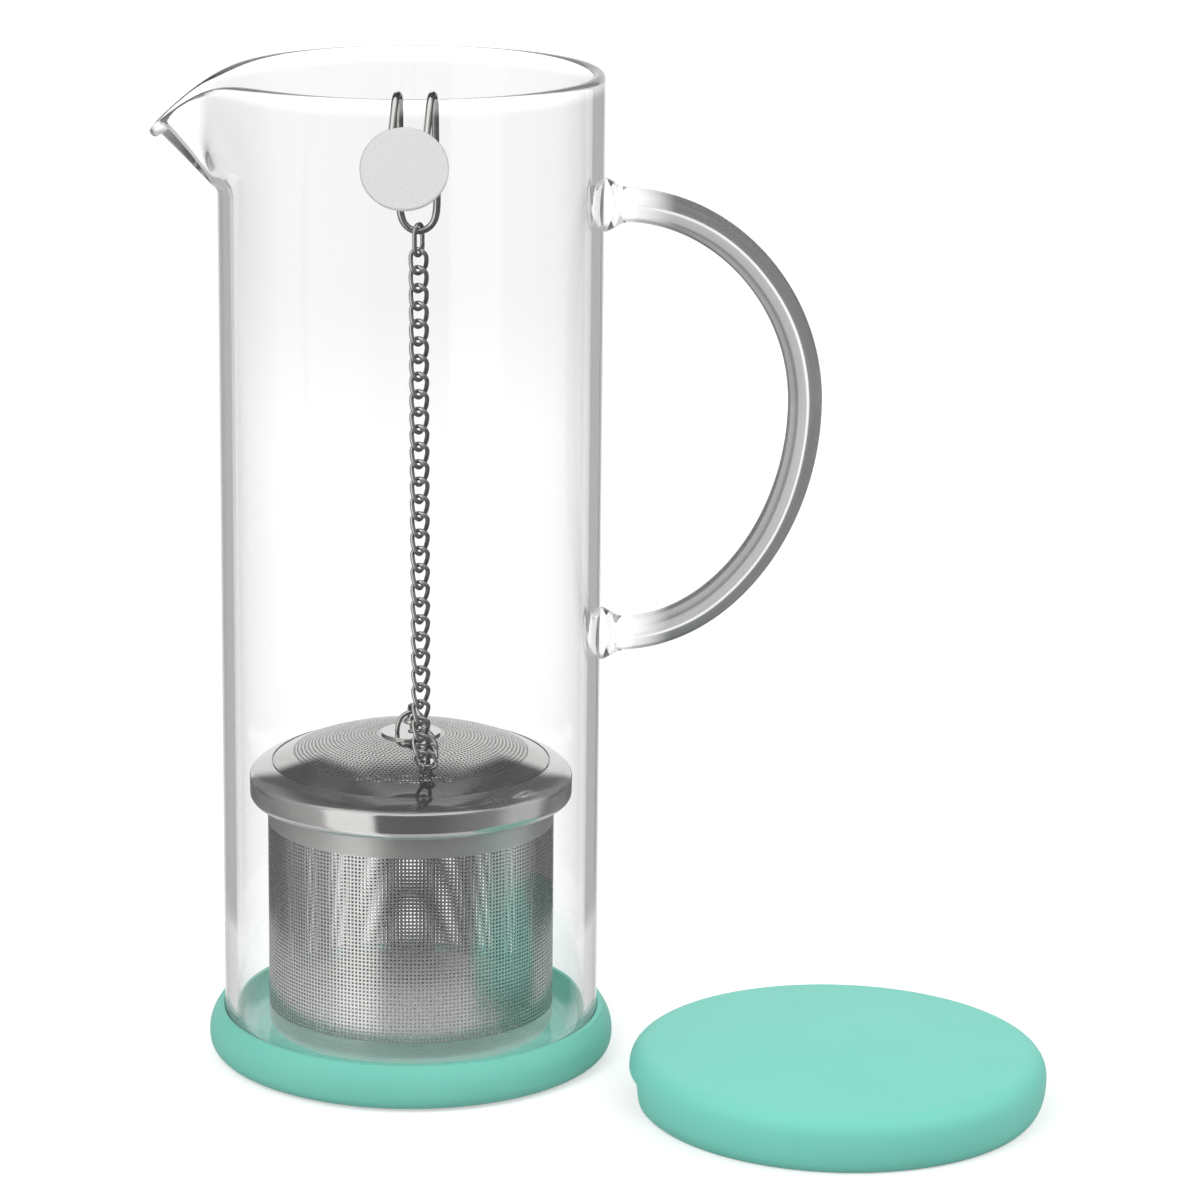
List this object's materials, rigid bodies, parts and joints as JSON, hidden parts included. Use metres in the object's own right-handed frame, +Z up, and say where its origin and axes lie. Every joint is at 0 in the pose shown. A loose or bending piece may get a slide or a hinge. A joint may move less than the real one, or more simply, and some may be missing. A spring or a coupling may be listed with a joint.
{
  "type": "infusion pitcher",
  "caption": "Tall glass pitcher with a pulled lip and rod handle in a silicone boot, with a silicone lid and a perforated steel infuser capsule on a chain hooked over the rim.",
  "frame": {"origin": "centre of the boot's flat underside, on the table", "axes": "+Z up along the glass cylinder, +X from the pouring lip to the handle, -Y to the hook and the tag"},
  "size_m": [0.2232, 0.1467, 0.2553],
  "materials": {
    "glass": "clear borosilicate, fire-polished edges",
    "silicone": "mint silicone, soft satin",
    "polished_steel": "mirror-polished stainless steel",
    "satin_steel": "satin perforated stainless sheet"
  },
  "bodies": {
    "jug": {"glass_body": "glass", "glass_handle": "glass", "upper_handle_weld": "glass", "lower_handle_weld": "glass"},
    "base": {"silicone_base": "silicone"},
    "lid": {"silicone_lid": "silicone"},
    "basket": {"basket_wall": "satin_steel", "basket_floor_pan": "satin_steel", "basket_collar": "polished_steel"},
    "cap": {"cap_rim": "polished_steel", "cap_sleeve": "satin_steel", "cap_mesh_dome": "satin_steel"},
    "string": {"cap_centre_plate": "polished_steel", "swivel_rivet": "satin_steel", "chain_bail": "polished_steel", "hook_wire": "polished_steel", "tag_disc": "polished_steel", "chain_connector": "polished_steel", "chain_link_01": "polished_steel", "chain_link_02": "polished_steel", "chain_link_03": "polished_steel", "chain_link_04": "polished_steel", "chain_link_05": "polished_steel", "chain_link_06": "polished_steel", "chain_link_07": "polished_steel", "chain_link_08": "polished_steel", "chain_link_09": "polished_steel", "chain_link_10": "polished_steel", "chain_link_11": "polished_steel", "chain_link_12": "polished_steel", "chain_link_13": "polished_steel", "chain_link_14": "polished_steel", "chain_link_15": "polished_steel", "chain_link_16": "polished_steel", "chain_link_17": "polished_steel", "chain_link_18": "polished_steel", "chain_link_19": "polished_steel", "chain_link_20": "polished_steel", "chain_link_21": "polished_steel", "chain_link_22": "polished_steel", "chain_link_23": "polished_steel", "chain_link_24": "polished_steel", "chain_link_25": "polished_steel", "chain_link_26": "polished_steel", "chain_link_27": "polished_steel", "chain_link_28": "polished_steel", "chain_link_29": "polished_steel", "chain_link_30": "polished_steel", "chain_link_31": "polished_steel", "chain_link_32": "polished_steel", "chain_link_33": "polished_steel", "chain_link_34": "polished_steel", "chain_link_35": "polished_steel", "chain_link_36": "polished_steel", "chain_link_37": "polished_steel", "chain_link_38": "polished_steel"}
  },
  "joints": [
    {"name": "base_pull", "type": "slide", "parent": "jug", "child": "base", "axis": [0, 0, -1], "range_m": [0, 0.03]},
    {"name": "lid_lift", "type": "slide", "parent": "jug", "child": "lid", "axis": [0, 0, 1], "range_m": [0, 0.08]},
    {"name": "infuser_lift", "type": "slide", "parent": "jug", "child": "basket", "axis": [0, 0, 1], "range_m": [0, 0.255]},
    {"name": "cap_lift", "type": "slide", "parent": "basket", "child": "cap", "axis": [0, 0, 1], "range_m": [0, 0.06]},
    {"name": "hook_travel", "type": "hinge", "parent": "cap", "child": "string", "pos_m": [0, 0, 0.083], "axis": [0, 0, 1], "range_deg": [-30, 210]}
  ]
}
